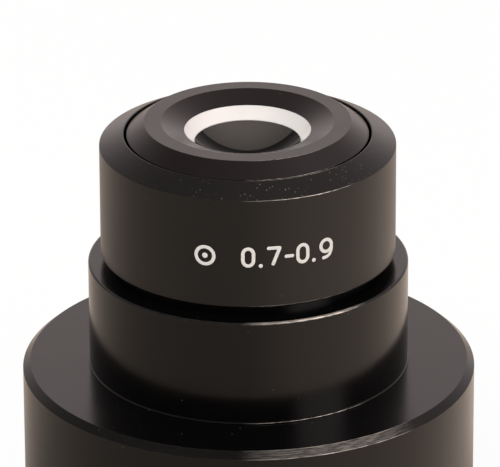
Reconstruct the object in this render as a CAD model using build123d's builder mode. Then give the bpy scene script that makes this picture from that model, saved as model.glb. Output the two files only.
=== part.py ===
"""Dry darkfield condenser: a stepped, black anodised body with a hollow-topped front glass, lenses and a patch stop.

Sizes are in millimetres. +Z runs up the optical axis, and the origin is the middle of the foot.
"""

import os
from math import sqrt

from build123d import *

# Fits between pieces
fit = 0.05
seat_gap = 0.03
ring_gap = 0.35

# Hollow of the front glass, seen from above
mirror_radius = 5.75
exit_zone_width = 0.97
hollow_sphere = 8.0
mirror_thickness = 0.30

# Front glass
glass_height = 8.2
glass_wall_height = 4.0
glass_land = 0.75

# Front cell
lip_overhang = 0.08
lip_thickness = 0.12
funnel_width = 2.65
funnel_drop = 0.86
rim_width = 1.85
cone_width = 1.92
cone_height = 1.30
flange_ledge = 1.47
flange_rise = 0.05
cell_wall = 1.20
shank_length = 8.0

# Top cap
cap_gap = 0.28
cap_wall = 1.55
cap_wall_height = 12.55
cap_bevel_height = 1.35
cap_web = 2.4
pocket_depth = 2.95
cap_foot_chamfer = 0.25
shim_thickness = 0.25

# Middle barrel
shank_clearance = 0.50
neck_wall = 2.35
barrel_step = 1.40
barrel_height = 11.95
groove_height = 1.10
barrel_shoulder = 2.10
spigot_wall = 2.10
barrel_top_chamfer = 0.30
barrel_foot_chamfer = 0.15
ledge_drop = 4.25
ledge_width = 1.25
ledge_thickness = 1.20

# Base
base_height = 17.0
base_step = 7.40
base_chamfer_width = 0.80
base_chamfer_height = 0.70
foot_chamfer = 0.50
foot_recess = 3.0
clamp_pocket_depth = 8.0

# Second lens and its ring
lens_land = 1.20
second_lens_edge = 2.0
second_lens_bulge = 3.6
lens_ring_height = 2.0

# Spanner rings
ring_width = 1.85
slot_width = 1.0
slot_depth = 0.8

# Glass clamp ring and cushions
clamp_ring_height = 2.0
cushion_thickness = 0.40

# Patch stop
spider_rim = 1.75
spider_thickness = 1.0
spider_legs = 3
leg_width = 1.0
hub_radius = 2.4
stop_disc_radius = 7.6
stop_disc_thickness = 0.6
stop_screw_radius = 0.80
stop_head_radius = 1.50
stop_head_height = 0.90
stop_slot_width = 0.40
stop_slot_depth = 0.35

# Collector lens
collector_edge = 2.5
collector_lower_bulge = 1.5
collector_upper_bulge = 4.0
collector_ring_height = 2.5
collector_ring_recess = 0.3
spacer_wall = 1.05

# Barrel clamp ring, its screws and the locating pin
clamp_width = 4.4
clamp_thickness = 4.4
screw_count = 3
screw_start = 90
screw_radius = 1.0
screw_head_radius = 1.9
screw_head_height = 0.9
screw_length = 7.0
screw_slot_width = 0.5
screw_slot_depth = 0.45
pin_radius = 0.6
pin_length = 5.0

# Radii that follow, from the axis outwards
hollow_radius = mirror_radius + exit_zone_width
lip_radius = hollow_radius + lip_overhang
rim_inner_radius = lip_radius + funnel_width
rim_outer_radius = rim_inner_radius + rim_width
flange_radius = rim_outer_radius + cone_width
shank_radius = flange_radius - flange_ledge
cell_bore = shank_radius - cell_wall
glass_radius = cell_bore - fit
glass_top_radius = hollow_radius + glass_land
cap_opening = flange_radius + cap_gap
neck_bore = shank_radius + shank_clearance
neck_radius = neck_bore + neck_wall
cap_radius = neck_radius + fit + cap_wall
barrel_radius = cap_radius + barrel_step
spigot_radius = barrel_radius - barrel_shoulder
spigot_bore = spigot_radius - spigot_wall
base_radius = barrel_radius + base_step
clamp_radius = spigot_radius + fit + clamp_width
ledge_radius = neck_bore - ledge_width
screw_circle = spigot_radius + fit + clamp_width / 2

# Heights that follow, from the foot upwards
barrel_top = base_height + barrel_height
cap_foot = barrel_top + groove_height
cap_bevel_foot = cap_foot + cap_wall_height
cap_top = cap_bevel_foot + cap_bevel_height
pocket_floor = cap_top - pocket_depth
web_underside = pocket_floor - cap_web
neck_top = web_underside - seat_gap
flange_foot = pocket_floor + shim_thickness + 2 * seat_gap
cone_foot = cap_top - flange_rise
rim_top = cone_foot + cone_height
funnel_foot = rim_top - funnel_drop
lip_underside = funnel_foot - lip_thickness
glass_top = lip_underside - seat_gap
glass_foot = glass_top - glass_height
sphere_centre = glass_top + sqrt(hollow_sphere**2 - hollow_radius**2)
shank_foot = flange_foot - shank_length
ledge_top = barrel_top - ledge_drop
ledge_underside = ledge_top - ledge_thickness
spider_foot = ledge_underside - seat_gap - spider_thickness
collector_ring_foot = foot_recess + collector_ring_recess
collector_foot = collector_ring_foot + collector_ring_height + cushion_thickness + 2 * seat_gap
clamp_foot = clamp_pocket_depth - seat_gap - clamp_thickness
spacer_foot = collector_foot + collector_edge + seat_gap


def hollow_point(radius, sphere):
    """Profile point at this radius on a sphere about the centre of the hollow."""
    return (radius, sphere_centre - sqrt(sphere**2 - radius**2))


def hollow_arc(inner, outer, sphere):
    """The three profile points of the hollow's arc between two radii."""
    return [hollow_point(radius, sphere) for radius in (inner, (inner + outer) / 2, outer)]


def spanner_ring(outer, inner, foot, height, slot_foot):
    """A threaded ring with a spanner slot across one of its faces."""
    with BuildPart() as ring:
        with BuildSketch(Plane.XY.offset(foot)):
            Circle(outer)
            Circle(inner, mode=Mode.SUBTRACT)
        extrude(amount=height)
        with BuildSketch(Plane.XY.offset(slot_foot)):
            Rectangle(2 * outer, slot_width)
        extrude(amount=slot_depth, mode=Mode.SUBTRACT)
    return ring


def plain_ring(outer, inner, foot, height):
    """A flat ring or a tube."""
    with BuildPart() as ring:
        with BuildSketch(Plane.XY.offset(foot)):
            Circle(outer)
            Circle(inner, mode=Mode.SUBTRACT)
        extrude(amount=height)
    return ring


os.makedirs("parts", exist_ok=True)

# Base: a drum with a web that the barrel stands on and a pocket for the clamp ring below it
with BuildPart() as base_housing:
    with BuildSketch(Plane.XZ):
        with BuildLine():
            Polyline(
                (clamp_radius + ring_gap, 0),
                (base_radius - foot_chamfer, 0),
                (base_radius, foot_chamfer),
                (base_radius, base_height - base_chamfer_height),
                (base_radius - base_chamfer_width, base_height),
                (spigot_radius + fit, base_height),
                (spigot_radius + fit, clamp_pocket_depth),
                (clamp_radius + ring_gap, clamp_pocket_depth),
                close=True,
            )
        make_face()
    revolve(axis=Axis.Z)
    pin_place = (spigot_radius + barrel_radius) / 2
    with Locations((0, pin_place, base_height)):
        Hole(pin_radius + fit, depth=pin_length / 2 + seat_gap)
    with BuildSketch(Plane.XY.offset(clamp_pocket_depth)):
        with PolarLocations(screw_circle, screw_count, start_angle=screw_start):
            Circle(screw_radius + fit)
    extrude(amount=screw_length - clamp_thickness + ring_gap, mode=Mode.SUBTRACT)
base_housing.part.label = "base_housing"
export_step(base_housing.part, "parts/base_housing.step")

# Middle barrel: spigot into the base, shoulder, and a neck for the cap, bored from both ends down to a ledge
with BuildPart() as middle_barrel:
    with BuildSketch(Plane.XZ):
        with BuildLine():
            Polyline(
                (spigot_bore, foot_recess),
                (spigot_radius, foot_recess),
                (spigot_radius, base_height + seat_gap),
                (barrel_radius - barrel_foot_chamfer, base_height + seat_gap),
                (barrel_radius, base_height + seat_gap + barrel_foot_chamfer),
                (barrel_radius, barrel_top - barrel_top_chamfer),
                (barrel_radius - barrel_top_chamfer, barrel_top),
                (neck_radius, barrel_top),
                (neck_radius, neck_top),
                (neck_bore, neck_top),
                (neck_bore, ledge_top),
                (ledge_radius, ledge_top),
                (ledge_radius, ledge_underside),
                (spigot_bore, ledge_underside),
                close=True,
            )
        make_face()
    revolve(axis=Axis.Z)
    with BuildSketch(Plane.XY.offset(base_height + seat_gap)):
        with Locations((0, pin_place)):
            Circle(pin_radius + fit)
    extrude(amount=pin_length / 2, mode=Mode.SUBTRACT)
middle_barrel.part.label = "middle_barrel"
export_step(middle_barrel.part, "parts/middle_barrel.step")

# Top cap: screws on the neck, its web seats on the neck's top, and its pocket takes the front cell
with BuildPart() as top_cap:
    with BuildSketch(Plane.XZ):
        with BuildLine():
            Polyline(
                (neck_radius + fit, cap_foot),
                (cap_radius - cap_foot_chamfer, cap_foot),
                (cap_radius, cap_foot + cap_foot_chamfer),
                (cap_radius, cap_bevel_foot),
                (cap_opening, cap_top),
                (cap_opening, pocket_floor),
                (shank_radius + fit, pocket_floor),
                (shank_radius + fit, web_underside),
                (neck_radius + fit, web_underside),
                close=True,
            )
        make_face()
    revolve(axis=Axis.Z)
top_cap.part.label = "top_cap"
export_step(top_cap.part, "parts/top_cap.step")

# Shim under the cell's flange
cell_shim = plain_ring(
    flange_radius - fit,
    shank_radius + fit,
    pocket_floor + seat_gap,
    shim_thickness,
)
cell_shim.part.label = "cell_shim"
export_step(cell_shim.part, "parts/cell_shim.step")

# Front cell: cone, flat rim, funnel and lip above, and a bored shank that the front glass is fitted in from below
glass_shoulder = glass_foot + glass_wall_height
with BuildPart() as front_cell:
    with BuildSketch(Plane.XZ):
        with BuildLine():
            Polyline(
                (cell_bore, shank_foot),
                (shank_radius, shank_foot),
                (shank_radius, flange_foot),
                (flange_radius, flange_foot),
                (flange_radius, cone_foot),
                (rim_outer_radius, rim_top),
                (rim_inner_radius, rim_top),
                (lip_radius, funnel_foot),
                (lip_radius, lip_underside),
                (glass_top_radius + fit, lip_underside),
                (cell_bore, glass_shoulder + fit),
                close=True,
            )
        make_face()
    revolve(axis=Axis.Z)
front_cell.part.label = "front_cell"
export_step(front_cell.part, "parts/front_cell.step")

# Front glass: flat below, conical outside, with a spherical hollow whose middle is sunk to seat the mirror
seat_sphere = hollow_sphere + mirror_thickness
seat_radius = mirror_radius + fit
with BuildPart() as mirror_glass:
    with BuildSketch(Plane.XZ):
        with BuildLine():
            exit_arc = ThreePointArc(*hollow_arc(seat_radius, hollow_radius, hollow_sphere))
            seat_arc = ThreePointArc(*hollow_arc(0, seat_radius, seat_sphere))
            Polyline(
                seat_arc @ 0,
                (0, glass_foot),
                (glass_radius, glass_foot),
                (glass_radius, glass_shoulder),
                (glass_top_radius, glass_top),
                exit_arc @ 1,
            )
            Line(seat_arc @ 1, exit_arc @ 0)
        make_face()
    revolve(axis=Axis.Z)
mirror_glass.part.label = "mirror_glass"
export_step(mirror_glass.part, "parts/mirror_glass.step")

# Central mirror: a thin shell in the sunk middle of the hollow, blackened on top
mirror_back_sphere = seat_sphere - seat_gap
with BuildPart() as central_mirror:
    with BuildSketch(Plane.XZ):
        with BuildLine():
            face_arc = ThreePointArc(*hollow_arc(0, mirror_radius, hollow_sphere))
            back_arc = ThreePointArc(*hollow_arc(0, mirror_radius, mirror_back_sphere))
            Line(face_arc @ 0, back_arc @ 0)
            Line(face_arc @ 1, back_arc @ 1)
        make_face()
    revolve(axis=Axis.Z)
central_mirror.part.label = "central_mirror"
export_step(central_mirror.part, "parts/central_mirror.step")

# Cushion and spanner ring that hold the front glass up in its cell
glass_cushion = plain_ring(
    glass_radius,
    glass_radius - ring_width,
    glass_foot - seat_gap - cushion_thickness,
    cushion_thickness,
)
glass_cushion.part.label = "glass_cushion"
export_step(glass_cushion.part, "parts/glass_cushion.step")

glass_clamp_foot = glass_foot - 2 * seat_gap - cushion_thickness - clamp_ring_height
glass_clamp_ring = spanner_ring(
    glass_radius,
    glass_radius - ring_width,
    glass_clamp_foot,
    clamp_ring_height,
    glass_clamp_foot,
)
glass_clamp_ring.part.label = "glass_clamp_ring"
export_step(glass_clamp_ring.part, "parts/glass_clamp_ring.step")

# Second lens: flat side on the ledge, with a flat land for its ring
second_lens_radius = neck_bore - fit
second_lens_foot = ledge_top + seat_gap
second_lens_rim = second_lens_foot + second_lens_edge
second_lens_clear = second_lens_radius - lens_land
with BuildPart() as second_lens:
    with BuildSketch(Plane.XZ):
        with BuildLine():
            crown = TangentArc(
                (0, second_lens_rim + second_lens_bulge),
                (second_lens_clear, second_lens_rim),
                tangent=(1, 0),
            )
            Polyline(
                crown @ 1,
                (second_lens_radius, second_lens_rim),
                (second_lens_radius, second_lens_foot),
                (0, second_lens_foot),
                crown @ 0,
            )
        make_face()
    revolve(axis=Axis.Z)
second_lens.part.label = "second_lens"
export_step(second_lens.part, "parts/second_lens.step")

lens_ring_foot = second_lens_rim + seat_gap
second_lens_ring = spanner_ring(
    second_lens_radius,
    second_lens_clear + fit,
    lens_ring_foot,
    lens_ring_height,
    lens_ring_foot + lens_ring_height - slot_depth,
)
second_lens_ring.part.label = "second_lens_ring"
export_step(second_lens_ring.part, "parts/second_lens_ring.step")

# Patch stop: a ring with legs and a hub under the ledge, and the disc screwed below the hub
stack_radius = spigot_bore - fit
spider_opening = stack_radius - spider_rim
with BuildPart() as stop_spider:
    with BuildSketch(Plane.XY.offset(spider_foot)):
        Circle(stack_radius)
        Circle(spider_opening, mode=Mode.SUBTRACT)
        Circle(hub_radius)
        with PolarLocations(spider_opening / 2, spider_legs, start_angle=90):
            Rectangle(spider_opening + spider_rim, leg_width)
        Circle(stop_screw_radius + fit, mode=Mode.SUBTRACT)
    extrude(amount=spider_thickness)
stop_spider.part.label = "stop_spider"
export_step(stop_spider.part, "parts/stop_spider.step")

stop_disc_foot = spider_foot - seat_gap - stop_disc_thickness
stop_disc = plain_ring(
    stop_disc_radius,
    stop_screw_radius + fit,
    stop_disc_foot,
    stop_disc_thickness,
)
stop_disc.part.label = "stop_disc"
export_step(stop_disc.part, "parts/stop_disc.step")

stop_head_foot = stop_disc_foot - seat_gap - stop_head_height
with BuildPart() as stop_screw:
    with BuildSketch(Plane.XY.offset(stop_head_foot)):
        Circle(stop_head_radius)
    extrude(amount=stop_head_height)
    with BuildSketch(Plane.XY.offset(stop_head_foot)):
        Circle(stop_screw_radius)
    extrude(amount=spider_foot + spider_thickness - stop_head_foot)
    with BuildSketch(Plane.XY.offset(stop_head_foot)):
        Rectangle(2 * stop_head_radius, stop_slot_width)
    extrude(amount=stop_slot_depth, mode=Mode.SUBTRACT)
stop_screw.part.label = "stop_screw"
export_step(stop_screw.part, "parts/stop_screw.step")

# Tube that keeps the spider up and the collector lens down
spacer_tube = plain_ring(
    stack_radius,
    stack_radius - spacer_wall,
    spacer_foot,
    spider_foot - seat_gap - spacer_foot,
)
spacer_tube.part.label = "spacer_tube"
export_step(spacer_tube.part, "parts/spacer_tube.step")

# Collector lens, with a flat land on each side
collector_clear = stack_radius - lens_land
collector_rim = collector_foot + collector_edge
with BuildPart() as collector_lens:
    with BuildSketch(Plane.XZ):
        with BuildLine():
            upper = TangentArc(
                (0, collector_rim + collector_upper_bulge),
                (collector_clear, collector_rim),
                tangent=(1, 0),
            )
            lower = TangentArc(
                (0, collector_foot - collector_lower_bulge),
                (collector_clear, collector_foot),
                tangent=(1, 0),
            )
            Polyline(upper @ 1, (stack_radius, collector_rim), (stack_radius, collector_foot), lower @ 1)
            Line(lower @ 0, upper @ 0)
        make_face()
    revolve(axis=Axis.Z)
collector_lens.part.label = "collector_lens"
export_step(collector_lens.part, "parts/collector_lens.step")

# Cushion and spanner ring below the collector lens
collector_cushion = plain_ring(
    stack_radius,
    collector_clear + fit,
    collector_foot - seat_gap - cushion_thickness,
    cushion_thickness,
)
collector_cushion.part.label = "collector_cushion"
export_step(collector_cushion.part, "parts/collector_cushion.step")

collector_ring = spanner_ring(
    stack_radius,
    collector_clear + fit,
    collector_ring_foot,
    collector_ring_height,
    collector_ring_foot,
)
collector_ring.part.label = "collector_ring"
export_step(collector_ring.part, "parts/collector_ring.step")

# Clamp ring on the spigot's end, drawn up against the base's web by countersunk screws
with BuildPart() as barrel_clamp_ring:
    with BuildSketch(Plane.XY.offset(clamp_foot)):
        Circle(clamp_radius)
        Circle(spigot_radius + fit, mode=Mode.SUBTRACT)
        with PolarLocations(screw_circle, screw_count, start_angle=screw_start):
            Circle(screw_radius + fit, mode=Mode.SUBTRACT)
    extrude(amount=clamp_thickness)
    with BuildSketch(Plane.XY.offset(clamp_foot)):
        with PolarLocations(screw_circle, screw_count, start_angle=screw_start):
            Circle(screw_head_radius + fit)
    extrude(amount=screw_head_height + seat_gap, mode=Mode.SUBTRACT)
barrel_clamp_ring.part.label = "barrel_clamp_ring"
export_step(barrel_clamp_ring.part, "parts/barrel_clamp_ring.step")

with BuildPart() as clamp_screws:
    with BuildSketch(Plane.XY.offset(clamp_foot)):
        with PolarLocations(screw_circle, screw_count, start_angle=screw_start):
            Circle(screw_head_radius)
    extrude(amount=screw_head_height)
    with BuildSketch(Plane.XY.offset(clamp_foot)):
        with PolarLocations(screw_circle, screw_count, start_angle=screw_start):
            Circle(screw_radius)
    extrude(amount=screw_length)
    with BuildSketch(Plane.XY.offset(clamp_foot)):
        with PolarLocations(screw_circle, screw_count, start_angle=screw_start):
            Rectangle(screw_slot_width, 2 * screw_head_radius)
    extrude(amount=screw_slot_depth, mode=Mode.SUBTRACT)
clamp_screws.part.label = "clamp_screws"
export_step(clamp_screws.part, "parts/clamp_screws.step")

# Dowel between the base and the barrel
with BuildPart() as locating_pin:
    with BuildSketch(Plane.XY.offset(base_height - pin_length / 2)):
        with Locations((0, pin_place)):
            Circle(pin_radius)
    extrude(amount=pin_length)
locating_pin.part.label = "locating_pin"
export_step(locating_pin.part, "parts/locating_pin.step")
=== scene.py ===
"""Darkfield condenser: a turned, black anodised body with a hollow-topped front glass."""

import math

import bmesh
import bpy
from bpy.props import FloatProperty, FloatVectorProperty, IntProperty, PointerProperty
from mathutils import Matrix, Vector


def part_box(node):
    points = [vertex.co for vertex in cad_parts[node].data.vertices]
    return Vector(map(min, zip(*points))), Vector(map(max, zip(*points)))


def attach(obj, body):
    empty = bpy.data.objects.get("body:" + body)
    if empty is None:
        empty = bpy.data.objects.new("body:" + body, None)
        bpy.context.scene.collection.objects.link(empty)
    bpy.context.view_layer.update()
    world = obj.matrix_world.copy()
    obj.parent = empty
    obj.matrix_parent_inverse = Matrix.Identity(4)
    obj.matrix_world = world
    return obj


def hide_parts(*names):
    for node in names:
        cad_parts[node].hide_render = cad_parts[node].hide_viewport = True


bl_info = {
    "name": "Darkfield Condenser",
    "version": (1, 0, 0),
    "blender": (4, 5, 0),
    "location": "3D View > Sidebar > Condenser",
    "description": "Builds a dry darkfield condenser with its figures, glass and studio stage",
    "category": "Add Mesh",
}

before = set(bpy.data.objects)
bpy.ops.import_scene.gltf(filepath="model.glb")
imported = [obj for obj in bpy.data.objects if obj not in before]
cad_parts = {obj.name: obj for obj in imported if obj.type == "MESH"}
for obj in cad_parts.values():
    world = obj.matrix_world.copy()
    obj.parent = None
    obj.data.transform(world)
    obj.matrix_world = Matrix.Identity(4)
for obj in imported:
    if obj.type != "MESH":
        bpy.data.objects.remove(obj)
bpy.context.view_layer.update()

MM = 0.001
FIT = 0.05 * MM  # radial clearance between two pieces
SEAT = 0.03 * MM  # gap between two faces that meet
GLASS_WALL = 4.0 * MM  # height of the front glass's straight wall
FACE_WEAR = 0.26  # wear of a face that is rubbed all over, where a rubbed edge has 1
GRIP_AND_GLINT_SIDE = (0.375, -0.927, 0.0)  # the side that is held and where the painted highlights and glints sit, 22 degrees to the right of the front
SHARP_ANGLE = math.radians(18)  # faces that meet at a larger angle keep a sharp edge


def top_of(node):
    """Height of a solid's highest point."""
    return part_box(node)[1].z


def foot_of(node):
    """Height of a solid's lowest point."""
    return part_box(node)[0].z


def radius_of(node):
    """Outer radius of a turned solid."""
    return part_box(node)[1].x


def linear(code):
    """Linear colour of an sRGB hex value."""
    values = [int(code[i : i + 2], 16) / 255 for i in (1, 3, 5)]
    return tuple(v / 12.92 if v <= 0.04045 else ((v + 0.055) / 1.055) ** 2.4 for v in values)


def length(name, description, millimetres):
    """A length property that is shown in the scene's units."""
    return FloatProperty(
        name=name,
        description=description,
        default=millimetres * MM,
        min=0.0,
        precision=5,
        subtype="DISTANCE",
        unit="LENGTH",
    )


def colour(name, description, code):
    """A colour property with an sRGB hex default."""
    return FloatVectorProperty(
        name=name,
        description=description,
        default=linear(code),
        min=0.0,
        max=1.0,
        size=3,
        subtype="COLOR",
    )


class CondenserSizes(bpy.types.PropertyGroup):
    """Sizes of the pieces that are seen from outside"""

    base_radius: length("Base radius", "Outer radius of the wide base", radius_of("base_housing") / MM)
    base_height: length("Base height", "Height of the base's flat shoulder", top_of("base_housing") / MM)
    base_chamfer_width: length("Base chamfer width", "Width of the chamfer round the shoulder", 0.80)
    base_chamfer_height: length("Base chamfer height", "Height of that chamfer", 0.70)
    foot_chamfer: length("Foot chamfer", "Chamfer round the foot", 0.50)
    barrel_radius: length(
        "Barrel radius", "Outer radius of the middle barrel", radius_of("middle_barrel") / MM
    )
    barrel_top: length("Barrel top", "Height of the barrel's top face", 28.95)
    cap_radius: length("Cap radius", "Outer radius of the top cap", radius_of("top_cap") / MM)
    cap_bevel: length("Cap bevel height", "Height of the bevel round the cap", 1.35)
    cone_height: length("Cone height", "Height of the front cell's cone", 1.42)
    rim_width: length("Rim width", "Width of the flat ring round the funnel", 1.85)
    hollow_radius: length("Hollow radius", "Radius of the hollow's mouth in the front glass", 6.88)
    hollow_sphere: length("Hollow curvature", "Radius of the sphere that the hollow is part of", 8.38)
    mirror_radius: length("Mirror radius", "Radius of the blackened middle", radius_of("central_mirror") / MM)
    figure_height: length("Figure height", "Height of the printed figures", 2.48)
    stroke_width: length("Stroke width", "Width of the figures' strokes", 0.39)
    edge_radius: length("Edge radius", "Radius that breaks each sharp edge", 0.09)
    segments: IntProperty(name="Segments", description="Faces round each turned piece", default=256, min=24)


class CondenserColours(bpy.types.PropertyGroup):
    """Colours of the finishes"""

    anodised: colour("Anodised black", "Black dyed oxide of the body", "#050505")
    blasted: colour("Blasted black", "The same oxide on the blasted cap", "#090908")
    cell_anodised: colour("Cell black", "Warmer black of the front cell", "#0d0707")
    matt_black: colour("Matt black", "Stray-light finish of the inner rings", "#111111")
    exit_white: colour("Exit white", "Ground exit ring of the front glass", "#e9ecec")
    mirror_grey: colour("Mirror grey", "Backing of the central mirror, seen straight on", "#514e4b")
    # Painted shade: the mirror's backing takes this black at a slant, in place of the dark crescent in the
    # hollow.
    mirror_painted_shade: colour("Mirror black", "The same backing at a slant", "#050505")
    paint: colour("Figure paint", "White filling of the figures", "#d3d6d1")
    steel: colour("Steel", "Screws and pin", "#b8b8ba")
    brass: colour("Brass", "Shim", "#c9a55c")
    film: colour("Cushion film", "Black cushion rings", "#161616")
    floor: colour("Floor", "Pale floor", "#f4f4f4")


def add(tree, kind, inputs=(), **settings):
    """Add a node with its settings: inputs are a dict by name, or a list in the order of the sockets in use.

    An input that is a socket is linked, and a node is linked by the first of its outputs in use. A Map
    Range's list is its value, the two bounds that it comes from and the two that it goes to.
    """
    node = tree.nodes.new(kind)
    for name, value in settings.items():
        setattr(node, name, value)
    in_use = [socket for socket in node.inputs if socket.enabled]
    pairs = inputs.items() if isinstance(inputs, dict) else zip(in_use, inputs)
    for target, value in pairs:
        if isinstance(target, str):
            target = node.inputs[target]
        if isinstance(value, bpy.types.Node):
            value = next(socket for socket in value.outputs if socket.enabled)
        if isinstance(value, bpy.types.NodeSocket):
            tree.links.new(value, target)
        else:
            target.default_value = value
    return node


def emptied(owner):
    """The node tree of a material or a world, with no node left in it."""
    owner.use_nodes = True
    owner.node_tree.nodes.clear()
    return owner.node_tree


def new_material(name):
    """An empty node material and its tree."""
    material = bpy.data.materials.new(name)
    return material, emptied(material)


def surfaced(material, inputs):
    """Give a material its output and one Principled shader with these inputs, and return it."""
    tree = material.node_tree
    shader = add(tree, "ShaderNodeBsdfPrincipled", inputs)
    add(tree, "ShaderNodeOutputMaterial", [shader])
    return material


def rgba(values):
    """Colour with full alpha."""
    return (*values[:3], 1.0)


def object_place(tree):
    """Place of a shading point in Object coordinates."""
    return add(tree, "ShaderNodeTexCoord").outputs["Object"]


def tool_marks(tree, pitch, drift):
    """Noise stretched round the axis: pitch is the marks' spacing, and drift their change round a turn."""
    x, y, height = add(tree, "ShaderNodeSeparateXYZ", [object_place(tree)]).outputs
    angle = add(tree, "ShaderNodeMath", [y, x], operation="ARCTAN2")
    flat = add(tree, "ShaderNodeCombineXYZ", [x, y])
    radius = add(tree, "ShaderNodeVectorMath", [flat], operation="LENGTH")
    across = add(tree, "ShaderNodeMath", [radius, 1 / pitch], operation="MULTIPLY")
    up = add(tree, "ShaderNodeMath", [height, 1 / pitch], operation="MULTIPLY")
    around = add(tree, "ShaderNodeMath", [angle, drift], operation="MULTIPLY")
    vector = add(tree, "ShaderNodeCombineXYZ", [across, up, around])
    return add(tree, "ShaderNodeTexNoise", {"Vector": vector, "Scale": 1.0, "Detail": 3.0})


def dust(tree, place, spacing, radius, share):
    """Mask of small round specks: one in a cell of the given spacing, on a share of the cells."""
    cells = add(tree, "ShaderNodeTexVoronoi", {"Vector": place, "Scale": 1 / spacing})
    reach = radius / spacing
    near = add(tree, "ShaderNodeMapRange", [cells.outputs["Distance"], reach, reach * 0.5, 0.0, 1.0])
    pick = add(tree, "ShaderNodeSeparateColor", [cells.outputs["Color"]])
    some = add(tree, "ShaderNodeMath", [pick, 1 - share], operation="GREATER_THAN")
    return add(tree, "ShaderNodeMath", [near, some], operation="MULTIPLY")


def grip_and_glint_cosine(tree, place):
    """Cosine of the angle round the axis between a shading point and the side that is held, where painted
    highlights and glints also sit.
    """
    away = add(tree, "ShaderNodeVectorMath", [place, (1.0, 1.0, 0.0)], operation="MULTIPLY")
    outwards = add(tree, "ShaderNodeVectorMath", [away], operation="NORMALIZE")
    return add(tree, "ShaderNodeVectorMath", [outwards, GRIP_AND_GLINT_SIDE], operation="DOT_PRODUCT")


def bare_metal_and_glint(tree, grip_and_glint):
    """Share of metal that shows on rubbed edges: short streaks, full on the held side and few elsewhere,
    partly real wear and partly a painted highlight where the edges catch the light.

    The side's bounds are cosines: an edge is fully rubbed within 7 degrees of it, and hardly past 25.
    """
    near = [grip_and_glint, 0.905, 0.992, 0.02, 1.0]
    # Partly painted highlight: the rub crowds on the side where the edges catch the light.
    held_and_glinting_share = add(tree, "ShaderNodeMapRange", near, interpolation_type="SMOOTHSTEP")
    streaks = tool_marks(tree, pitch=0.06 * MM, drift=18.0)
    rubbed = add(tree, "ShaderNodeMapRange", [streaks, 0.40, 0.62, 0.12, 1.0])
    spread = add(tree, "ShaderNodeMath", [rubbed, held_and_glinting_share], operation="MULTIPLY")
    wear = add(tree, "ShaderNodeAttribute", attribute_name="wear").outputs["Fac"]
    return add(tree, "ShaderNodeMath", [spread, wear], operation="MULTIPLY")


def dust_and_glint_specks(tree, place, grip_and_glint, grit):
    """Mask of a few specks all over, and of finer grit where a face looks up. The grit crowds on the held
    side, partly as real grit and partly as painted glints where the surface catches the light.

    Real dust is too fine to show, so the grit is drawn 0.15 mm across.
    """
    specks = dust(tree, place, spacing=0.9 * MM, radius=0.06 * MM, share=0.10)
    normal = add(tree, "ShaderNodeNewGeometry").outputs["Normal"]
    rise = add(tree, "ShaderNodeSeparateXYZ", [normal]).outputs["Z"]
    upward = add(tree, "ShaderNodeMapRange", [rise, 0.5, 0.8, 0.0, 1.0])
    # Partly painted glints: the grit crowds on the side that catches the light.
    beside = add(tree, "ShaderNodeMapRange", [grip_and_glint, 0.55, 0.95, 0.25, 1.0])
    upward_and_lit_share = add(tree, "ShaderNodeMath", [upward, beside], operation="MULTIPLY")
    fine = dust(tree, place, spacing=0.34 * MM, radius=0.075 * MM, share=grit)
    gritty = add(tree, "ShaderNodeMath", [upward_and_lit_share, fine], operation="MULTIPLY")
    return add(tree, "ShaderNodeMath", [specks, gritty], operation="MAXIMUM")


def anodised_aluminium(name, black, roughness, ior, grit):
    """Black dyed anodised aluminium: near black, with a soft grey sheen at grazing angles.

    Fine tool marks run round the axis under the oxide. Real ones are about 0.05 mm apart, and these are
    drawn coarser so that they show. Edges are rubbed to the grey metal, and dust lies on top. The rub and the
    grit crowd on the side 22 degrees right of the front: partly wear where it is held, and partly painted
    highlights and glints where the edges and grit catch the light. The grit is the share of its cells that
    hold a speck.
    """
    material, tree = new_material(name)
    place = object_place(tree)
    marks = tool_marks(tree, pitch=0.22 * MM, drift=1.5)
    cloud = add(tree, "ShaderNodeTexNoise", {"Vector": place, "Scale": 1 / (9 * MM), "Detail": 4.0})
    plain = add(tree, "ShaderNodeMapRange", [cloud, 0.3, 0.7, roughness - 0.03, roughness + 0.03])
    # Partly painted light: the rub and the grit crowd on the side that catches the light.
    grip_and_glint = grip_and_glint_cosine(tree, place)
    rubbed_and_glinting = bare_metal_and_glint(tree, grip_and_glint)
    specks = dust_and_glint_specks(tree, place, grip_and_glint, grit)
    rubbed = add(tree, "ShaderNodeMix", [rubbed_and_glinting, rgba(black), rgba(linear("#d2ccc3"))], data_type="RGBA")
    dusty_rubbed_glinting_colour = add(tree, "ShaderNodeMix", [specks, rubbed, rgba(linear("#6e6a64"))], data_type="RGBA")
    surface = {
        "Base Color": dusty_rubbed_glinting_colour,
        "Metallic": add(tree, "ShaderNodeMath", [rubbed_and_glinting, 0.9], operation="MULTIPLY"),
        "Roughness": add(tree, "ShaderNodeMix", [rubbed_and_glinting, plain, 0.45]),
        "IOR": ior,
        "Normal": add(tree, "ShaderNodeBump", {"Height": marks, "Strength": 0.12, "Distance": 0.004 * MM}),
    }
    return surfaced(material, surface)


def matt_anodised(name, colours):
    """Matt black anodised aluminium of the inner rings: dull, with coarse, thread-like tool marks."""
    material, tree = new_material(name)
    marks = tool_marks(tree, pitch=0.35 * MM, drift=1.0)
    surface = {
        "Base Color": rgba(colours.matt_black),
        "IOR": 1.6,
        "Roughness": add(tree, "ShaderNodeMapRange", [marks, 0.3, 0.7, 0.5, 0.62]),
        "Normal": add(tree, "ShaderNodeBump", {"Height": marks, "Strength": 0.3, "Distance": 0.02 * MM}),
    }
    return surfaced(material, surface)


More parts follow.
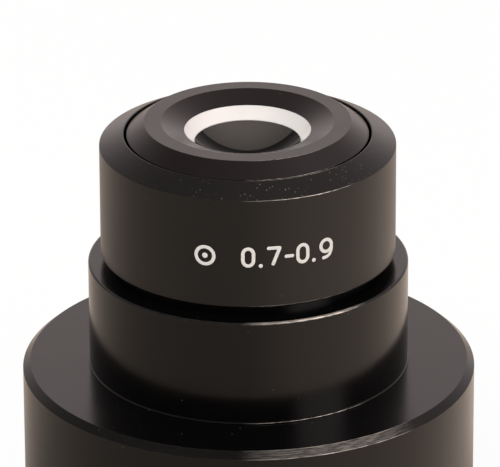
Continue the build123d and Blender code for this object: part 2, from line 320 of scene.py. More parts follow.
def opal_exit_zone(name, colours):
    """Finely ground crown glass backed with white: an even, bright ring under a thin gloss."""
    material, tree = new_material(name)
    place = object_place(tree)
    grain = add(tree, "ShaderNodeTexNoise", {"Vector": place, "Scale": 1 / (0.06 * MM), "Detail": 2.0})
    white, warmer = rgba(colours.exit_white), rgba(linear("#ece7e1"))
    surface = {
        "Base Color": add(tree, "ShaderNodeMix", [grain, white, warmer], data_type="RGBA"),
        "Roughness": 0.35,
        "IOR": 1.52,
        "Coat Weight": 0.6,
        "Coat Roughness": 0.08,
    }
    return surfaced(material, surface)


def blackened_mirror(name, colours):
    """Blackened silver seen through polished glass: dark grey, with painted shade that darkens it as the view
    slants.

    The polished face above it gives a clean reflection of its own. The slant is 0 straight on and 1 at
    grazing; the painted shade fades the grey to about half, and turns it black where the slant passes 0.40.
    """
    material, tree = new_material(name)
    place = object_place(tree)
    haze = add(tree, "ShaderNodeTexNoise", {"Vector": place, "Scale": 1 / (2.5 * MM), "Detail": 5.0})
    slant = add(tree, "ShaderNodeLayerWeight", {"Blend": 0.5}).outputs["Facing"]
    # Painted shade: grey only within a slant of 0.40, fading to about half towards it, and black past it.
    straight = add(tree, "ShaderNodeMapRange", [slant, 0.412, 0.392, 0.0, 1.0])
    fade = add(tree, "ShaderNodeMapRange", [slant, 0.06, 0.40, 1.0, 0.52])
    grey = add(tree, "ShaderNodeMath", [straight, fade], operation="MULTIPLY")
    dark, light = rgba(colours.mirror_painted_shade), rgba(colours.mirror_grey)
    surface = {
        "Base Color": add(tree, "ShaderNodeMix", [grey, dark, light], data_type="RGBA"),
        "Roughness": add(tree, "ShaderNodeMapRange", [haze, 0.35, 0.7, 0.04, 0.07]),
        "IOR": 1.22,
    }
    return surfaced(material, surface)


def clear_glass(name):
    """Polished crown glass of the inner lenses: clear, with a trace of film in its gloss."""
    material, tree = new_material(name)
    place = object_place(tree)
    film = add(tree, "ShaderNodeTexNoise", {"Vector": place, "Scale": 1 / (6 * MM), "Detail": 2.0})
    surface = {
        "Base Color": rgba(linear("#f3f8f6")),
        "Roughness": add(tree, "ShaderNodeMapRange", [film, 0.3, 0.7, 0.0, 0.02]),
        "Transmission Weight": 1.0,
        "IOR": 1.52,
    }
    return surfaced(material, surface)


def turned_metal(name, base, roughness):
    """Plain turned metal with tool marks round the axis, drawn coarse enough to show."""
    material, tree = new_material(name)
    marks = tool_marks(tree, pitch=0.18 * MM, drift=2.0)
    surface = {
        "Base Color": rgba(base),
        "Metallic": 1.0,
        "Roughness": add(tree, "ShaderNodeMapRange", [marks, 0.3, 0.7, roughness - 0.06, roughness + 0.06]),
        "Normal": add(tree, "ShaderNodeBump", {"Height": marks, "Strength": 0.15, "Distance": 0.01 * MM}),
    }
    return surfaced(material, surface)


def cushion_film(name, colours):
    """Thin black polyester film: even, with a low sheen."""
    material, tree = new_material(name)
    place = object_place(tree)
    grain = add(tree, "ShaderNodeTexNoise", {"Vector": place, "Scale": 1 / (0.2 * MM), "Detail": 2.0})
    rough = add(tree, "ShaderNodeMapRange", [grain, 0.3, 0.7, 0.4, 0.5])
    return surfaced(material, {"Base Color": rgba(colours.film), "Roughness": rough})


def figure_paint(name, colours):
    """White enamel rubbed into engraved figures: slightly uneven and a little worn."""
    material, tree = new_material(name)
    place = object_place(tree)
    grain = add(tree, "ShaderNodeTexNoise", {"Vector": place, "Scale": 1 / (0.25 * MM), "Detail": 3.0})
    fade = add(tree, "ShaderNodeMapRange", [grain, 0.35, 0.7, 0.0, 1.0])
    white, faded = rgba(colours.paint), rgba(linear("#dcd9d0"))
    tint = add(tree, "ShaderNodeMix", [fade, white, faded], data_type="RGBA")
    return surfaced(material, {"Base Color": tint, "Roughness": 0.55})


def rounded_edges(corners, radius, worn_faces=()):
    """Closed profile in metres of (radius, height, wear), with a round on each corner that has a factor.

    Each corner is (radius, height, round factor). The face after a corner in worn_faces is rubbed all over.
    """
    degrees_a_step = 11
    hold = 0.3  # a point at this share of a round's reach past its end holds the face beside it flat
    count = len(corners)
    points = []
    for i, (x, z, factor) in enumerate(corners):
        here = Vector((x, z))
        before = (Vector(corners[i - 1][:2]) - here).normalized()
        after = (Vector(corners[(i + 1) % count][:2]) - here).normalized()
        wear_in = FACE_WEAR if (i - 1) % count in worn_faces else 0.0
        wear_out = FACE_WEAR if i in worn_faces else 0.0
        if not factor:
            points.append((x, z, max(wear_in, wear_out)))
            continue
        turn = math.pi - before.angle(after)
        reach = radius * factor * math.tan(turn / 2)
        middle = here + (before + after).normalized() * radius * factor / math.cos(turn / 2)
        start = here + before * reach
        finish = here + after * reach
        points.append((*(start + before * hold * reach), wear_in))
        points.append((*start, wear_in))
        steps = max(2, math.ceil(math.degrees(turn) / degrees_a_step))
        for step in range(1, steps):
            spoke = (start - middle).normalized().slerp((finish - middle).normalized(), step / steps)
            points.append((*(middle + spoke * radius * factor), 1.0))
        points.append((*finish, wear_out))
        points.append((*(finish + after * hold * reach), wear_out))
    return points


def new_tree(name, inputs, output):
    """An empty Geometry Nodes tree with inputs of the given kinds, and its input sockets by name."""
    tree = bpy.data.node_groups.new(name, "GeometryNodeTree")
    for socket, kind in inputs.items():
        tree.interface.new_socket(socket, in_out="INPUT", socket_type=f"NodeSocket{kind}")
    tree.interface.new_socket(output, in_out="OUTPUT", socket_type="NodeSocketGeometry")
    return tree, add(tree, "NodeGroupInput").outputs


def finished_tree(tree, geometry, finish):
    """End a Geometry Nodes tree with real geometry that has its material, and return it."""
    real = add(tree, "GeometryNodeRealizeInstances", [geometry])
    coloured = add(tree, "GeometryNodeSetMaterial", {"Geometry": real, "Material": finish})
    add(tree, "NodeGroupOutput", [coloured])
    return tree


def lathe_tree():
    """Geometry Nodes: turns a closed profile in the XZ plane round the Z axis.

    It bends a grid whose columns are the profile's points and whose rows are the segments.
    """
    kinds = {"Profile": "Geometry", "Segments": "Int", "Sharp Angle": "Float", "Finish": "Material"}
    tree, given = new_tree("Turned solid", kinds, "Solid")
    position = add(tree, "GeometryNodeInputPosition")
    count = add(tree, "GeometryNodeAttributeDomainSize", [given["Profile"]])
    closed = add(tree, "ShaderNodeMath", [count, 1.0], operation="ADD")
    rounds = add(tree, "ShaderNodeMath", [given["Segments"], 1.0], operation="ADD")
    grid = add(tree, "GeometryNodeMeshGrid", [1.0, 1.0, closed, rounds])
    where = add(tree, "ShaderNodeSeparateXYZ", [position])
    along = add(tree, "ShaderNodeMath", [where.outputs["X"], 0.5], operation="ADD")
    number = add(tree, "ShaderNodeMath", [along, count], operation="MULTIPLY")
    nearest = add(tree, "ShaderNodeMath", [number], operation="ROUND")
    index = add(tree, "ShaderNodeMath", [nearest, count], operation="MODULO")
    turn = add(tree, "ShaderNodeMath", [where.outputs["Y"], 0.5], operation="ADD")
    angle = add(tree, "ShaderNodeMath", [turn, 2 * math.pi], operation="MULTIPLY")
    source = given["Profile"]
    point = add(tree, "GeometryNodeSampleIndex", [source, position, index], data_type="FLOAT_VECTOR")
    named = add(tree, "GeometryNodeInputNamedAttribute", ["wear"], data_type="FLOAT")
    wear = add(tree, "GeometryNodeSampleIndex", [source, named, index], data_type="FLOAT")
    profile = add(tree, "ShaderNodeSeparateXYZ", [point])
    cosine = add(tree, "ShaderNodeMath", [angle], operation="COSINE")
    sine = add(tree, "ShaderNodeMath", [angle], operation="SINE")
    x = add(tree, "ShaderNodeMath", [profile.outputs["X"], cosine], operation="MULTIPLY")
    y = add(tree, "ShaderNodeMath", [profile.outputs["X"], sine], operation="MULTIPLY")
    spot = add(tree, "ShaderNodeCombineXYZ", [x, y, profile.outputs["Z"]])
    marked = add(
        tree,
        "GeometryNodeStoreNamedAttribute",
        {"Geometry": grid, "Name": "wear", "Value": wear},
        data_type="FLOAT",
        domain="POINT",
    )
    turned = add(tree, "GeometryNodeSetPosition", {"Geometry": marked, "Position": spot})
    merged = add(tree, "GeometryNodeMergeByDistance", {"Geometry": turned, "Distance": 1e-6})
    bend = add(tree, "GeometryNodeInputMeshEdgeAngle").outputs["Unsigned Angle"]
    smooth = add(tree, "ShaderNodeMath", [bend, given["Sharp Angle"]], operation="LESS_THAN")
    faces = add(tree, "GeometryNodeSetShadeSmooth", [merged], domain="FACE")
    creased = {"Geometry": faces, "Shade Smooth": smooth}
    edges = add(tree, "GeometryNodeSetShadeSmooth", creased, domain="EDGE")
    return finished_tree(tree, edges, given["Finish"])


def applied(scaffold, tree, values):
    """Run a Geometry Nodes tree on an object, and return its result as a plain mesh."""
    modifier = scaffold.modifiers.new("Build", "NODES")
    modifier.node_group = tree
    for item in tree.interface.items_tree:
        if item.in_out == "INPUT" and item.name in values:
            modifier[item.identifier] = values[item.name]
    bpy.context.view_layer.update()
    made = scaffold.evaluated_get(bpy.context.evaluated_depsgraph_get())
    mesh = bpy.data.meshes.new_from_object(made)
    scaffold.modifiers.remove(modifier)
    return mesh


def outward(mesh):
    """Turn a closed mesh's faces outwards."""
    work = bmesh.new()
    work.from_mesh(mesh)
    bmesh.ops.remove_doubles(work, verts=work.verts, dist=1e-7)
    bmesh.ops.recalc_face_normals(work, faces=work.faces)
    work.to_mesh(mesh)
    work.free()


def linked(name, mesh):
    """Add an object at the origin to the scene."""
    made = bpy.data.objects.new(name, mesh)
    bpy.context.scene.collection.objects.link(made)
    return made


def turned_piece(name, profile, finish, segments):
    """Make one turned piece from its profile of (radius, height, wear)."""
    line = bpy.data.meshes.new(name + "_profile")
    line.from_pydata([(r, 0.0, h) for r, h, _ in profile], [], [])
    line.attributes.new("wear", "FLOAT", "POINT").data.foreach_set("value", [w for _, _, w in profile])
    scaffold = linked(name + "_profile", line)
    tree = bpy.data.node_groups.get("Turned solid") or lathe_tree()
    mesh = applied(scaffold, tree, {"Segments": segments, "Sharp Angle": SHARP_ANGLE, "Finish": finish})
    bpy.data.objects.remove(scaffold)
    bpy.data.meshes.remove(line)
    outward(mesh)
    mesh.name = name
    piece = linked(name, mesh)
    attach(piece, "root")
    return piece


def finish_of(name, maker, *arguments):
    """The named material, made on first use."""
    return bpy.data.materials.get(name) or maker(name, *arguments)


def body_finish(context, name):
    """One of the three anodised finishes, each with its (colour, roughness, IOR, share of grit)."""
    colours = context.scene.condenser_colours
    kinds = {
        "Black anodised aluminium, fine turned": (colours.anodised, 0.19, 1.38, 0.01),
        "Black anodised aluminium, blasted": (colours.blasted, 0.32, 1.44, 0.30),
        "Warm black anodised aluminium": (colours.cell_anodised, 0.30, 1.5, 0.01),
    }
    return finish_of(name, anodised_aluminium, *kinds[name])


class CONDENSER_OT_base(bpy.types.Operator):
    """Turn the wide base"""

    bl_idname = "condenser.base"
    bl_label = "Base"

    def execute(self, context):
        sizes = context.scene.condenser_sizes
        finish = body_finish(context, "Black anodised aluminium, fine turned")
        bore = radius_of("middle_barrel") - 2.05 * MM
        pocket = radius_of("barrel_clamp_ring") + 0.35 * MM
        ceiling = 8.0 * MM
        radius, height = sizes.base_radius, sizes.base_height
        corners = [
            (pocket, 0.0, 1.0),
            (radius - sizes.foot_chamfer, 0.0, 1.0),
            (radius, sizes.foot_chamfer, 1.0),
            (radius, height - sizes.base_chamfer_height, 1.0),
            (radius - sizes.base_chamfer_width, height, 1.0),
            (bore, height, 0.0),
            (bore, ceiling, 0.0),
            (pocket, ceiling, 0.0),
        ]
        chamfer = 3  # the corner below the shoulder's chamfer, whose face is rubbed all over; crowded on the held side, that rub is partly painted highlight
        profile = rounded_edges(corners, sizes.edge_radius, worn_faces=(chamfer,))
        piece = turned_piece("base_drum", profile, finish, sizes.segments)
        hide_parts("base_housing")
        return {"FINISHED"}


class CONDENSER_OT_barrel(bpy.types.Operator):
    """Turn the middle barrel with its neck"""

    bl_idname = "condenser.barrel"
    bl_label = "Middle Barrel"

    def execute(self, context):
        sizes = context.scene.condenser_sizes
        finish = body_finish(context, "Black anodised aluminium, fine turned")
        low, high = foot_of("middle_barrel"), top_of("middle_barrel")
        radius = sizes.barrel_radius
        spigot = radius - 2.1 * MM
        neck = sizes.cap_radius - 1.6 * MM
        shoulder = sizes.base_height + SEAT
        bead, bead_wall, bead_height = 0.12 * MM, 0.10 * MM, 0.22 * MM
        lower_bore = radius_of("spacer_tube") + FIT
        neck_bore = radius_of("second_lens") + FIT
        ledge_bore = neck_bore - 1.25 * MM
        ledge = foot_of("second_lens") - SEAT
        ledge_foot = ledge - 1.2 * MM
        corners = [
            (lower_bore, low, 1.0),
            (spigot, low, 1.0),
            (spigot, shoulder, 0.0),
            (radius + bead, shoulder, 0.0),
            (radius + bead, shoulder + bead_wall, 1.0),
            (radius, shoulder + bead_height, 0.0),
            (radius, sizes.barrel_top, 2.6),
            (neck, sizes.barrel_top, 0.0),
            (neck, high, 0.0),
            (neck_bore, high, 0.0),
            (neck_bore, ledge, 0.0),
            (ledge_bore, ledge, 0.0),
            (ledge_bore, ledge_foot, 0.0),
            (lower_bore, ledge_foot, 0.0),
        ]
        profile = rounded_edges(corners, sizes.edge_radius)
        piece = turned_piece("barrel", profile, finish, sizes.segments)
        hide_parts("middle_barrel")
        return {"FINISHED"}


class CONDENSER_OT_cap(bpy.types.Operator):
    """Turn the bevelled cap"""

    bl_idname = "condenser.cap"
    bl_label = "Top Cap"

    def execute(self, context):
        sizes = context.scene.condenser_sizes
        finish = body_finish(context, "Black anodised aluminium, blasted")
        low, high = foot_of("top_cap"), top_of("top_cap")
        radius = sizes.cap_radius
        bore = radius - 1.55 * MM
        foot_chamfer = 0.25 * MM
        opening = radius_of("front_cell") + 0.28 * MM
        shank_hole = radius_of("front_cell") - 1.42 * MM
        floor = foot_of("cell_shim") - SEAT
        web = top_of("middle_barrel") + SEAT
        corners = [
            (bore, low, 0.0),
            (radius - foot_chamfer, low, 1.0),
            (radius, low + foot_chamfer, 1.0),
            (radius, high - sizes.cap_bevel, 1.0),
            (opening, high, 1.4),
            (opening, floor, 0.0),
            (shank_hole, floor, 0.0),
            (shank_hole, web, 0.0),
            (bore, web, 0.0),
        ]
        profile = rounded_edges(corners, sizes.edge_radius)
        piece = turned_piece("cap", profile, finish, sizes.segments)
        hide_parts("top_cap")
        return {"FINISHED"}


class CONDENSER_OT_front_cell(bpy.types.Operator):
    """Turn the conical front cell"""

    bl_idname = "condenser.front_cell"
    bl_label = "Front Cell"

    def execute(self, context):
        sizes = context.scene.condenser_sizes
        finish = body_finish(context, "Warm black anodised aluminium")
        low, high = foot_of("front_cell"), top_of("front_cell")
        flange = radius_of("front_cell")
        flange_foot = top_of("cell_shim") + SEAT
        shank = flange - 1.47 * MM
        bore = radius_of("mirror_glass") + FIT
        rim_outer = flange - 1.92 * MM
        lip = sizes.hollow_radius + 0.03 * MM
        lip_top = top_of("mirror_glass") + 0.05 * MM
        lip_foot = lip_top - 0.03 * MM
        under_lip = sizes.hollow_radius + 0.8 * MM
        glass_shoulder = foot_of("mirror_glass") + GLASS_WALL + FIT
        corners = [
            (bore, low, 0.0),
            (shank, low, 0.0),
            (shank, flange_foot, 0.0),
            (flange, flange_foot, 0.0),
            (flange, high - sizes.cone_height, 0.5),
            (rim_outer, high, 1.0),
            (rim_outer - sizes.rim_width, high, 1.0),
            (lip, lip_top, 0.0),
            (lip, lip_foot, 0.0),
            (under_lip, lip_foot, 0.0),
            (bore, glass_shoulder, 0.0),
        ]
        profile = rounded_edges(corners, sizes.edge_radius)
        piece = turned_piece("cell_cone", profile, finish, sizes.segments)
        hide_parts("front_cell")
        return {"FINISHED"}


def hollow_line(centre, sphere, inner, outer, steps):
    """Profile points without wear on a sphere round the centre, from an inner to an outer radius."""
    radii = [inner + (outer - inner) * i / steps for i in range(steps + 1)]
    return [(radius, centre - math.sqrt(sphere**2 - radius**2), 0.0) for radius in radii]


class CONDENSER_OT_front_glass(bpy.types.Operator):
    """Make the hollow-topped front glass and its blackened middle"""

    bl_idname = "condenser.front_glass"
    bl_label = "Front Glass"

    def execute(self, context):
        sizes = context.scene.condenser_sizes
        colours = context.scene.condenser_colours
        sphere, mouth = sizes.hollow_sphere, sizes.hollow_radius
        low, high = foot_of("mirror_glass"), top_of("mirror_glass")
        wall = radius_of("mirror_glass")
        centre = high + math.sqrt(sphere**2 - mouth**2)
        seat, seat_depth, shell_depth = sizes.mirror_radius + FIT, 0.3 * MM, 0.27 * MM
        land = 0.75 * MM
        glass = hollow_line(centre, sphere + seat_depth, 0.0, seat, steps=24)
        glass += hollow_line(centre, sphere, seat, mouth, steps=8)
        glass += [(mouth + land, high, 0.0), (wall, low + GLASS_WALL, 0.0), (wall, low, 0.0), (0.0, low, 0.0)]
        finish = finish_of("Ground white crown glass", opal_exit_zone, colours)
        piece = turned_piece("exit_glass", glass, finish, sizes.segments)
        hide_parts("mirror_glass")
        shell = hollow_line(centre, sphere, 0.0, sizes.mirror_radius, steps=40)
        shell += reversed(hollow_line(centre, sphere + shell_depth, 0.0, sizes.mirror_radius, steps=40))
        finish = finish_of("Blackened polished mirror", blackened_mirror, colours)
        piece = turned_piece("black_mirror", shell, finish, sizes.segments)
        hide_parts("central_mirror")
        return {"FINISHED"}


def arc(cx, cy, rx, ry, start, end, steps):
    """Points of an elliptic arc between two angles in degrees."""
    turns = [math.radians(start + (end - start) * i / steps) for i in range(steps + 1)]
    return [(cx + rx * math.cos(t), cy + ry * math.sin(t)) for t in turns]


def figure_strokes(mark):
    """Centre lines of one figure: a list of (points, closed), in units of the figure height."""
    if mark == "0":
        top = arc(0.33, 0.64, 0.23, 0.26, 0, 180, 20)
        bottom = arc(0.33, 0.36, 0.23, 0.26, 180, 360, 20)
        return [(top + bottom, True)]
    if mark == ".":
        return [(arc(0.085, 0.09, 0.02, 0.02, 0, 330, 11), True)]
    if mark == "7":
        return [([(0.02, 0.90), (0.59, 0.90), (0.27, 0.085)], False)]
    if mark == "-":
        return [([(0.03, 0.46), (0.47, 0.46)], False)]
    if mark == "9":
        bowl = arc(0.40, 0.645, 0.265, 0.28, 0, 360, 36)
        tail = [(0.665, 0.645), (0.665, 0.50), (0.655, 0.40), (0.62, 0.29)]
        tail += [(0.555, 0.19), (0.46, 0.125), (0.34, 0.095), (0.19, 0.09)]
        return [(bowl[:-1], True), (tail, False)]
    ring = arc(0.5, 0.5, 0.40, 0.40, 0, 360, 48)
    dot = arc(0.5, 0.5, 0.05, 0.05, 0, 330, 11)
    return [(ring[:-1], True), (dot, True)]


def round_end(tree, half):
    """Share of a stroke's full width at each of its points: it narrows to a half circle at an open end."""
    done = add(tree, "GeometryNodeSplineParameter").outputs["Length"]
    whole = add(tree, "GeometryNodeSplineLength")
    left = add(tree, "ShaderNodeMath", [whole, done], operation="SUBTRACT")
    end = add(tree, "ShaderNodeMath", [done, left], operation="MINIMUM")
    share = add(tree, "ShaderNodeMath", [end, half], operation="DIVIDE", use_clamp=True)
    rest = add(tree, "ShaderNodeMath", [1.0, share], operation="SUBTRACT")
    square = add(tree, "ShaderNodeMath", [rest, 2.0], operation="POWER")
    inside = add(tree, "ShaderNodeMath", [1.0, square], operation="SUBTRACT")
    root = add(tree, "ShaderNodeMath", [inside], operation="SQRT")
    ring = add(tree, "GeometryNodeInputSplineCyclic")
    width = add(tree, "ShaderNodeMath", [root, ring], operation="MAXIMUM")
    return add(tree, "ShaderNodeMath", [width, 0.02], operation="MAXIMUM")


def figure_tree():
    """Geometry Nodes: lays flat strokes round a cylinder as thin, round-ended paint ridges."""
    sizes = ("Stroke Width", "Paint Height", "Wall Radius", "Spacing")
    kinds = {"Strokes": "Geometry", **dict.fromkeys(sizes, "Float"), "Finish": "Material"}
    tree, given = new_tree("Painted strokes", kinds, "Figures")
    spaced = {"Curve": given["Strokes"], "Length": given["Spacing"]}
    line = add(tree, "GeometryNodeResampleCurve", spaced, mode="LENGTH")
    upright = add(tree, "GeometryNodeSetCurveNormal", [line], mode="Z_UP")
    half = add(tree, "ShaderNodeMath", [given["Stroke Width"], 0.5], operation="MULTIPLY")
    disc = add(tree, "GeometryNodeCurvePrimitiveCircle", {"Resolution": 12, "Radius": half}, mode="RADIUS")
    swept = {"Curve": upright, "Profile Curve": disc, "Scale": round_end(tree, half), "Fill Caps": True}
    body = add(tree, "GeometryNodeCurveToMesh", swept)
    spot = add(tree, "ShaderNodeSeparateXYZ", [add(tree, "GeometryNodeInputPosition")])
    thin = add(tree, "ShaderNodeMath", [given["Paint Height"], half], operation="DIVIDE")
    proud = add(tree, "ShaderNodeMath", [spot.outputs["Z"], thin], operation="MULTIPLY")
    radius = add(tree, "ShaderNodeMath", [given["Wall Radius"], proud], operation="ADD")
    angle = add(tree, "ShaderNodeMath", [spot.outputs["X"], given["Wall Radius"]], operation="DIVIDE")
    sine = add(tree, "ShaderNodeMath", [angle], operation="SINE")
    cosine = add(tree, "ShaderNodeMath", [angle], operation="COSINE")
    x = add(tree, "ShaderNodeMath", [radius, sine], operation="MULTIPLY")
    back = add(tree, "ShaderNodeMath", [radius, cosine], operation="MULTIPLY")
    y = add(tree, "ShaderNodeMath", [back, -1.0], operation="MULTIPLY")
    wrapped = add(tree, "ShaderNodeCombineXYZ", [x, y, spot.outputs["Y"]])
    laid = add(tree, "GeometryNodeSetPosition", {"Geometry": body, "Position": wrapped})
    smooth = add(tree, "GeometryNodeSetShadeSmooth", [laid], domain="FACE")
    return finished_tree(tree, smooth, given["Finish"])


class CONDENSER_OT_figures(bpy.types.Operator):
    """Lay the painted figures on the cap's wall"""

    bl_idname = "condenser.figures"
    bl_label = "Figures"

    def execute(self, context):
        sizes = context.scene.condenser_sizes
        finish = finish_of("White engraving enamel", figure_paint, context.scene.condenser_colours)
        foot = 34.83 * MM
        # Each mark and the degrees from the front at which it starts; "o" is the ring with its dot.
        places = [("o", -21.0), ("0", -2.9), (".", 4.0), ("7", 6.9)]
        places += [("-", 13.6), ("0", 18.3), (".", 25.0), ("9", 27.6)]
        curve = bpy.data.curves.new("figure_lines", "CURVE")
        curve.dimensions = "3D"
        for mark, start in places:
            left = math.radians(start) * sizes.cap_radius
            for stroke, closed in figure_strokes(mark):
                spline = curve.splines.new("POLY")
                spline.points.add(len(stroke) - 1)
                spline.use_cyclic_u = closed
                for point, (u, v) in zip(spline.points, stroke):
                    point.co = (left + u * sizes.figure_height, foot + v * sizes.figure_height, 0.0, 1.0)
        scaffold = linked("figure_lines", curve)
        values = {
            "Stroke Width": sizes.stroke_width,
            "Paint Height": 0.012 * MM,
            "Wall Radius": sizes.cap_radius,
            "Spacing": 0.05 * MM,
            "Finish": finish,
        }
        mesh = applied(scaffold, figure_tree(), values)
        bpy.data.objects.remove(scaffold)
        bpy.data.curves.remove(curve)
        outward(mesh)
        piece = linked("figures", mesh)
        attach(piece, "root")
        return {"FINISHED"}


class CONDENSER_OT_inner_parts(bpy.types.Operator):
    """Give the inner parts their finishes"""

    bl_idname = "condenser.inner_parts"
    bl_label = "Inner Parts"

    def execute(self, context):
        colours = context.scene.condenser_colours
        anodised = body_finish(context, "Black anodised aluminium, fine turned")
        matt = finish_of("Matt black anodised aluminium", matt_anodised, colours)
        glass = finish_of("Polished crown glass", clear_glass)
        steel = finish_of("Turned steel", turned_metal, colours.steel, 0.3)
        brass = finish_of("Rolled brass", turned_metal, colours.brass, 0.35)
        film = finish_of("Black polyester film", cushion_film, colours)
        rings = ("glass_clamp_ring", "second_lens_ring", "collector_ring")
        finishes = {
            anodised: ("barrel_clamp_ring",),
            matt: (*rings, "stop_spider", "stop_disc", "spacer_tube"),
            glass: ("second_lens", "collector_lens"),
            steel: ("stop_screw", "clamp_screws", "locating_pin"),
            brass: ("cell_shim",),
            film: ("glass_cushion", "collector_cushion"),
        }
        for finish, nodes in finishes.items():
            for node in nodes:
                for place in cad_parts[node].material_slots:
                    place.material = finish
        return {"FINISHED"}


def fill_ramp(ramp, stops):
    """Set the stops of a ramp, (position, grey level), and return it."""
    elements = ramp.color_ramp.elements
    while len(elements) < len(stops):
        elements.new(0.5)
    for element, (position, level) in zip(elements, stops):
        element.position = position
        element.color = (level, level, level, 1.0)
    return ramp


def bearing(tree, x, y):
    """Bearing round the axis as a share of a turn: 0 at the front, 0.25 at the right and 0.5 at the back."""
    front = add(tree, "ShaderNodeMath", [y, -1.0], operation="MULTIPLY")
    angle = add(tree, "ShaderNodeMath", [x, front], operation="ARCTAN2")
    share = add(tree, "ShaderNodeMath", [angle, 1 / (2 * math.pi)], operation="MULTIPLY")
    return add(tree, "ShaderNodeMath", [share, 1.0, 0.0], operation="WRAP")


def studio_light(tree, facing):
    """Studio light by direction: a bright backdrop, a dim ceiling, a dark front and a window at the right."""
    x, y, z = add(tree, "ShaderNodeSeparateXYZ", [facing]).outputs
    side = add(tree, "ShaderNodeMapRange", [x, -0.6, 0.6, 0.20, 0.85])
    behind = add(tree, "ShaderNodeMapRange", [y, 0.12, 0.55, 0.0, 1.0])
    dim = add(tree, "ShaderNodeMapRange", [x, -0.5, 0.5, 0.20, 0.42])
    ceiling = add(tree, "ShaderNodeMix", [behind, side, dim])
    ahead = add(tree, "ShaderNodeMapRange", [y, -0.06, -0.30, 0.0, 1.0])
    upper = add(tree, "ShaderNodeMix", [ahead, ceiling, 0.15])
    around = [(0.0, 0.20), (0.167, 0.40), (0.30, 0.50), (0.414, 0.68), (0.45, 0.98), (0.50, 1.0)]
    around += [(0.54, 0.97), (0.575, 0.58), (0.64, 0.40), (0.75, 0.30), (0.90, 0.20), (1.0, 0.20)]
    backdrop = fill_ramp(add(tree, "ShaderNodeValToRGB", [bearing(tree, x, y)]), around)
    bright = add(tree, "ShaderNodeMath", [backdrop, 1.22], operation="MULTIPLY")
    upwards = [(0.0, 1.0), (0.38, 1.0), (0.45, 0.72), (0.58, 0.42), (0.69, 0.18), (0.80, 0.0)]
    low = fill_ramp(add(tree, "ShaderNodeValToRGB", [z]), upwards)
    level = add(tree, "ShaderNodeMix", [low, upper, bright])
    window = Vector((0.74, -0.54, 0.41)).normalized()
    close = add(tree, "ShaderNodeVectorMath", [facing, window], operation="DOT_PRODUCT")
    glow = add(tree, "ShaderNodeMapRange", [close, 0.93, 0.985, 0.0, 5.0], interpolation_type="SMOOTHSTEP")
    return add(tree, "ShaderNodeMath", [level, glow], operation="ADD")


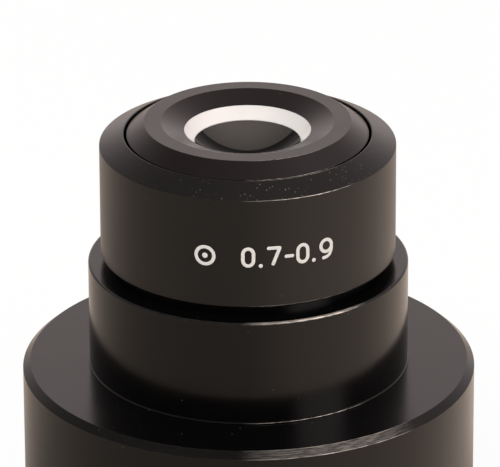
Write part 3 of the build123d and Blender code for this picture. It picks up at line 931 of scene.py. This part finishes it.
class CONDENSER_OT_stage(bpy.types.Operator):
    """Set the pale floor, the soft light and the camera"""

    bl_idname = "condenser.stage"
    bl_label = "Stage"

    def execute(self, context):
        scene = context.scene
        scene.view_settings.view_transform = "Standard"
        self.floor(scene)
        self.surroundings(scene)
        self.lamp()
        self.camera(scene)
        return {"FINISHED"}

    def floor(self, scene):
        """A disc under the foot: the camera sees it almost white, and reflections see painted light and shade
        on it.
        """
        work = bmesh.new()
        under_foot = Matrix.Translation((0.0, 0.0, -0.02 * MM))
        bmesh.ops.create_circle(work, cap_ends=True, segments=96, radius=0.9, matrix=under_foot)
        mesh = bpy.data.meshes.new("floor")
        work.to_mesh(mesh)
        work.free()
        floor = linked("floor", mesh)
        material, tree = new_material("Pale studio board")
        x, y, _ = add(tree, "ShaderNodeSeparateXYZ", [object_place(tree)]).outputs
        # Painted light and shade, seen only in reflections: warm tones that go round the object, palest on
        # the right and darkest from the left round to the front.
        around = [(0.0, 0.50), (0.086, 0.88), (0.167, 1.0), (0.333, 0.96), (0.417, 0.82), (0.5, 0.82)]
        around += [(0.583, 0.74), (0.667, 0.64), (0.75, 0.50), (0.914, 0.46), (1.0, 0.50)]
        shade = fill_ramp(add(tree, "ShaderNodeValToRGB", [bearing(tree, x, y)]), around)
        warm = add(tree, "ShaderNodeVectorMath", [shade, (1.0, 0.88, 0.76)], operation="MULTIPLY")
        ray = add(tree, "ShaderNodeLightPath").outputs
        pale = rgba(scene.condenser_colours.floor)
        tone = add(tree, "ShaderNodeMix", [ray["Is Glossy Ray"], pale, warm], data_type="RGBA")
        board = add(tree, "ShaderNodeBsdfDiffuse", {"Color": tone})
        glow = add(tree, "ShaderNodeEmission", {"Color": (1.0, 1.0, 1.0, 1.0), "Strength": 1.0})
        share = add(tree, "ShaderNodeMath", [ray["Is Camera Ray"], 0.95], operation="MULTIPLY")
        both = add(tree, "ShaderNodeMixShader", [share, board, glow])
        add(tree, "ShaderNodeOutputMaterial", [both])
        mesh.materials.append(material)

    def surroundings(self, scene):
        """The camera sees white, and the object is lit by the studio's light with a warm tint."""
        world = bpy.data.worlds.new("Studio")
        scene.world = world
        tree = emptied(world)
        facing = add(tree, "ShaderNodeTexCoord").outputs["Generated"]
        seen = add(tree, "ShaderNodeLightPath").outputs["Is Camera Ray"]
        light = studio_light(tree, facing)
        tint = add(tree, "ShaderNodeVectorMath", [(1.0, 0.88, 0.86), light], operation="SCALE")
        tone = add(tree, "ShaderNodeMix", [seen, tint, (1.0, 1.0, 1.0, 1.0)], data_type="RGBA")
        back = add(tree, "ShaderNodeBackground", {"Color": tone, "Strength": 1.0})
        add(tree, "ShaderNodeOutputWorld", [back])

    def lamp(self):
        """One round softbox, high on the left, that lights the object but isn't mirrored in it."""
        light = bpy.data.lights.new("softbox", "AREA")
        light.shape = "DISK"
        light.size = 0.5
        light.energy = 4.2
        light.color = (1.0, 0.985, 0.965)
        lamp = linked("softbox", light)
        lamp.location = (-0.22, -0.28, 0.68)
        middle = Vector((0.0, 0.0, 0.03))
        lamp.rotation_euler = (middle - lamp.location).to_track_quat("-Z", "Y").to_euler()
        lamp.visible_glossy = False

    def camera(self, scene):
        """The camera in front, looking down on the object."""
        elevation, aside, tilt = 23.59, -0.0216, -0.26
        data = bpy.data.cameras.new("camera")
        data.lens = 402.98
        data.sensor_width = 36.0
        data.clip_start = 0.05
        camera = linked("camera", data)
        camera.location = (0.0, -0.5631, 0.2777)
        pitch = Matrix.Rotation(math.radians(90 - elevation), 3, "X")
        yaw = Matrix.Rotation(math.radians(aside), 3, "Z")
        roll = Matrix.Rotation(math.radians(tilt), 3, "Z")
        camera.rotation_euler = (yaw @ pitch @ roll).to_euler()
        scene.camera = camera


class CONDENSER_PT_panel(bpy.types.Panel):
    """Lists the condenser's pieces and settings"""

    bl_idname = "CONDENSER_PT_panel"
    bl_label = "Darkfield Condenser"
    bl_space_type = "VIEW_3D"
    bl_region_type = "UI"
    bl_category = "Condenser"

    def draw(self, context):
        layout = self.layout
        for operator in OPERATORS:
            layout.operator(operator.bl_idname)
        for group in (context.scene.condenser_sizes, context.scene.condenser_colours):
            box = layout.box()
            for name in group.bl_rna.properties.keys():
                if name not in {"rna_type", "name"}:
                    box.prop(group, name)


OPERATORS = (
    CONDENSER_OT_base,
    CONDENSER_OT_barrel,
    CONDENSER_OT_cap,
    CONDENSER_OT_front_cell,
    CONDENSER_OT_front_glass,
    CONDENSER_OT_figures,
    CONDENSER_OT_inner_parts,
    CONDENSER_OT_stage,
)
CLASSES = (CondenserSizes, CondenserColours, *OPERATORS, CONDENSER_PT_panel)


def register():
    for cls in CLASSES:
        bpy.utils.register_class(cls)
    bpy.types.Scene.condenser_sizes = PointerProperty(type=CondenserSizes)
    bpy.types.Scene.condenser_colours = PointerProperty(type=CondenserColours)


def unregister():
    del bpy.types.Scene.condenser_colours
    del bpy.types.Scene.condenser_sizes
    for cls in reversed(CLASSES):
        bpy.utils.unregister_class(cls)


def main():
    register()
    bpy.ops.condenser.base()
    bpy.ops.condenser.barrel()
    bpy.ops.condenser.cap()
    bpy.ops.condenser.front_cell()
    bpy.ops.condenser.front_glass()
    bpy.ops.condenser.figures()
    bpy.ops.condenser.inner_parts()
    bpy.ops.condenser.stage()


if __name__ == "__main__":
    main()
